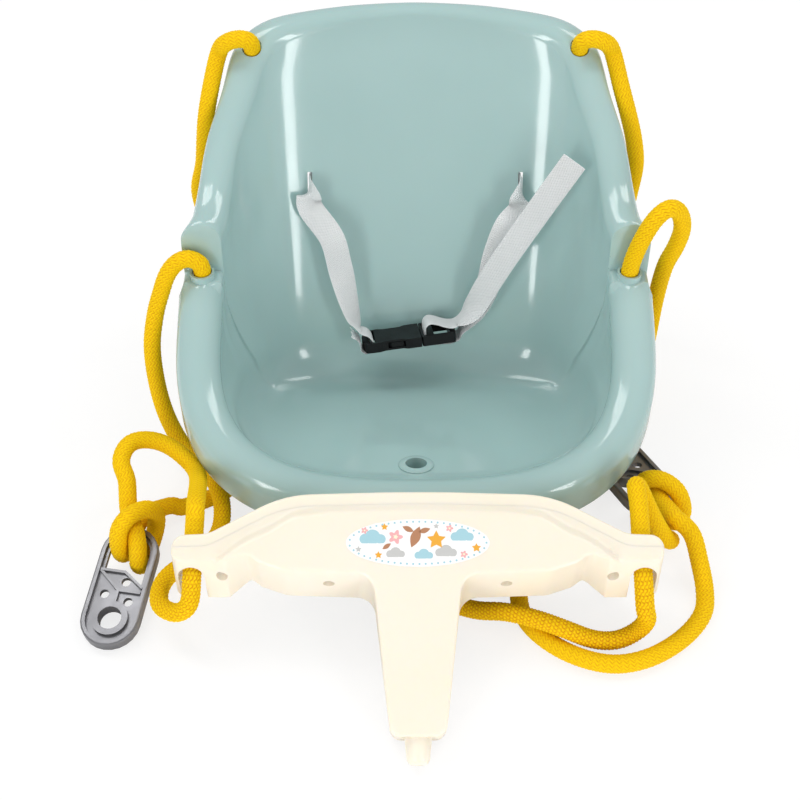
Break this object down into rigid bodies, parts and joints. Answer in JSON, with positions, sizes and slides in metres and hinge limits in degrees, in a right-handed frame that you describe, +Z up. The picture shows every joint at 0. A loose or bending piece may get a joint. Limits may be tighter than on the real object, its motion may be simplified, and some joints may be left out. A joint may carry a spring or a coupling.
{
  "type": "child rope swing",
  "caption": "Bucket seat for a small child with a high back, a T-shaped safety bar, ropes with hang plates and a buckled lap belt, laid out unhung.",
  "frame": {"origin": "on the floor under the middle of the seat pan, on the foot of the ribs that the seat stands on", "axes": "+Z up, -Y towards the front lip and the safety bar's leg, +X to the right seen from the front"},
  "size_m": [0.4531, 0.5038, 0.28],
  "materials": {
    "seat": "gloss",
    "bar": "satin",
    "rope": "braided",
    "plate": "metallic grey",
    "belt": "woven",
    "buckle": "satin",
    "screw": "zinc plated"
  },
  "bodies": {
    "seat": {"seat_shell": "seat", "rope_left_front": "rope", "rope_left_seat": "rope", "rope_left_back": "rope", "rope_left_hitch": "rope", "rope_right_front": "rope", "rope_right_seat": "rope", "rope_right_back": "rope", "rope_right_hitch": "rope", "belt_fixed": "belt", "belt_free": "belt", "belt_tail": "belt", "buckle_socket": "buckle"},
    "safety_bar": {"bar_body": "bar", "bar_cap": "bar", "bar_screw_left_inner": "screw", "bar_screw_left_outer": "screw", "bar_screw_right_inner": "screw", "bar_screw_right_outer": "screw"},
    "hang_plate_left": {"hang_plate_left": "plate"},
    "hang_plate_right": {"hang_plate_right": "plate"},
    "buckle_tongue": {"buckle_tongue": "buckle"},
    "prong_near": {"buckle_prong_near": "buckle"},
    "prong_far": {"buckle_prong_far": "buckle"}
  },
  "joints": [
    {"name": "safety_bar_turn", "type": "hinge", "parent": "seat", "child": "safety_bar", "pos_m": [0, -0.13837, 0.06605], "axis": [-1, 0, 0], "range_deg": [0, 10]},
    {"name": "left_plate_turn", "type": "hinge", "parent": "seat", "child": "hang_plate_left", "pos_m": [-0.206, -0.122, 0.02411], "axis": [-0.9866, 0.1633, 0], "range_deg": [0, 30]},
    {"name": "right_plate_turn", "type": "hinge", "parent": "seat", "child": "hang_plate_right", "pos_m": [0.183, -0.097, 0.02411], "axis": [0.9336, 0.3584, 0], "range_deg": [0, 8]},
    {"name": "buckle_slide", "type": "slide", "parent": "seat", "child": "buckle_tongue", "axis": [0.988, 0.145, 0.0537], "range_m": [0, 0.025], "deforming": ["belt_free", "belt_tail"]},
    {"name": "prong_near_squeeze", "type": "hinge", "parent": "buckle_tongue", "child": "prong_near", "pos_m": [0.00526, 0.05159, 0.05944], "axis": [0.0951, -0.2965, -0.9503], "range_deg": [0, 6], "stiffness_Nm_per_rad": 0.05},
    {"name": "prong_far_squeeze", "type": "hinge", "parent": "buckle_tongue", "child": "prong_far", "pos_m": [0.00333, 0.0665, 0.05459], "axis": [-0.0951, 0.2965, 0.9503], "range_deg": [0, 6], "stiffness_Nm_per_rad": 0.05}
  ]
}
